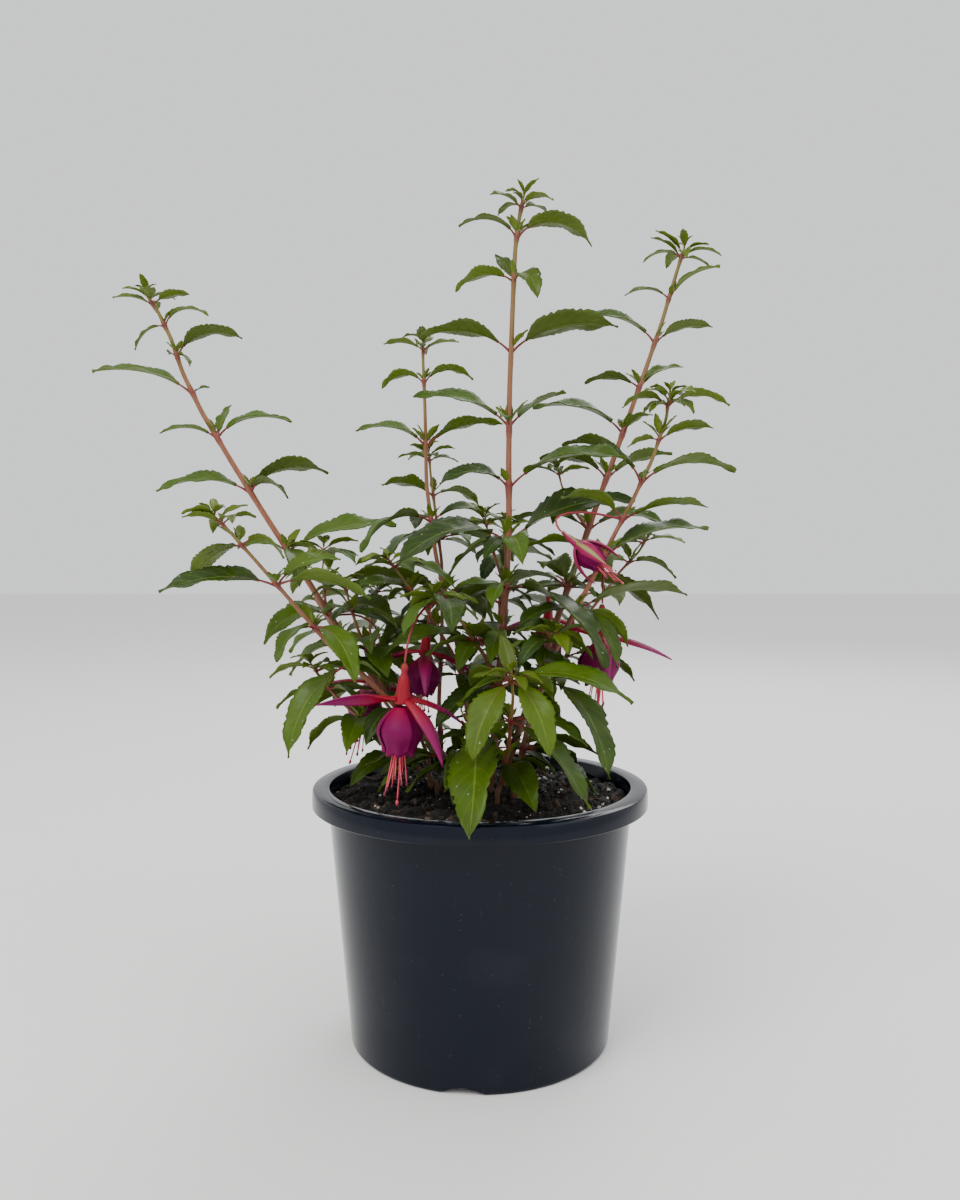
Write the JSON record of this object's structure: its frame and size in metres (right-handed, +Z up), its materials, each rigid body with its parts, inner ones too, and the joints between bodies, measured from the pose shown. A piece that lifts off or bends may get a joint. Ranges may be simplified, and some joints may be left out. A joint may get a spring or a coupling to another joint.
{
  "type": "potted fuchsia",
  "caption": "Young fuchsia with arching leafy stems and hanging red and purple flowers, rooted in a round plastic nursery pot filled with potting mix.",
  "frame": {"origin": "middle of the pot's flat underside, which rests on the ground", "axes": "+Z up the plant, -Y towards the side that the picture shows, +X to the right in the picture"},
  "size_m": [0.3836, 0.251, 0.5038],
  "materials": {
    "pot": "smooth moulded near-black blue polypropylene",
    "soil": "dark peat and bark potting mix, rough and matt",
    "foliage": "living green leaves and red-brown stems, satin",
    "sepals": "waxy red flower tube and sepals",
    "petals": "purple petals, soft satin",
    "stamens": "coral-pink filaments with darker tips",
    "bud": "waxy red closed flower bud"
  },
  "bodies": {
    "root": {"pot": "pot", "soil": "soil", "stem_low_front": "foliage", "stem_low_centre": "foliage", "stem_centre": "foliage", "stem_mid_left": "foliage", "stem_far_left": "foliage", "stem_low_left": "foliage", "stem_front_left": "foliage", "stem_front_right": "foliage", "stem_far_right": "foliage", "stem_back_left": "foliage", "stem_thin_left": "foliage", "stem_back_right": "foliage", "stem_rear": "foliage", "stem_rear_left": "foliage", "bloom_front_sepals": "sepals", "bloom_front_petals": "petals", "bloom_front_stamens": "stamens", "bloom_left_sepals": "sepals", "bloom_left_petals": "petals", "bloom_left_stamens": "stamens", "bloom_right_sepals": "sepals", "bloom_right_petals": "petals", "bloom_right_stamens": "stamens", "bloom_inner_left_sepals": "sepals", "bloom_inner_left_petals": "petals", "bloom_inner_left_stamens": "stamens", "bloom_inner_right_sepals": "sepals", "bloom_inner_right_petals": "petals", "bloom_inner_right_stamens": "stamens", "bloom_opening_sepals": "sepals", "bloom_opening_petals": "petals", "bloom_opening_stamens": "stamens", "bud_1": "bud", "bud_2": "bud"}
  },
  "joints": []
}
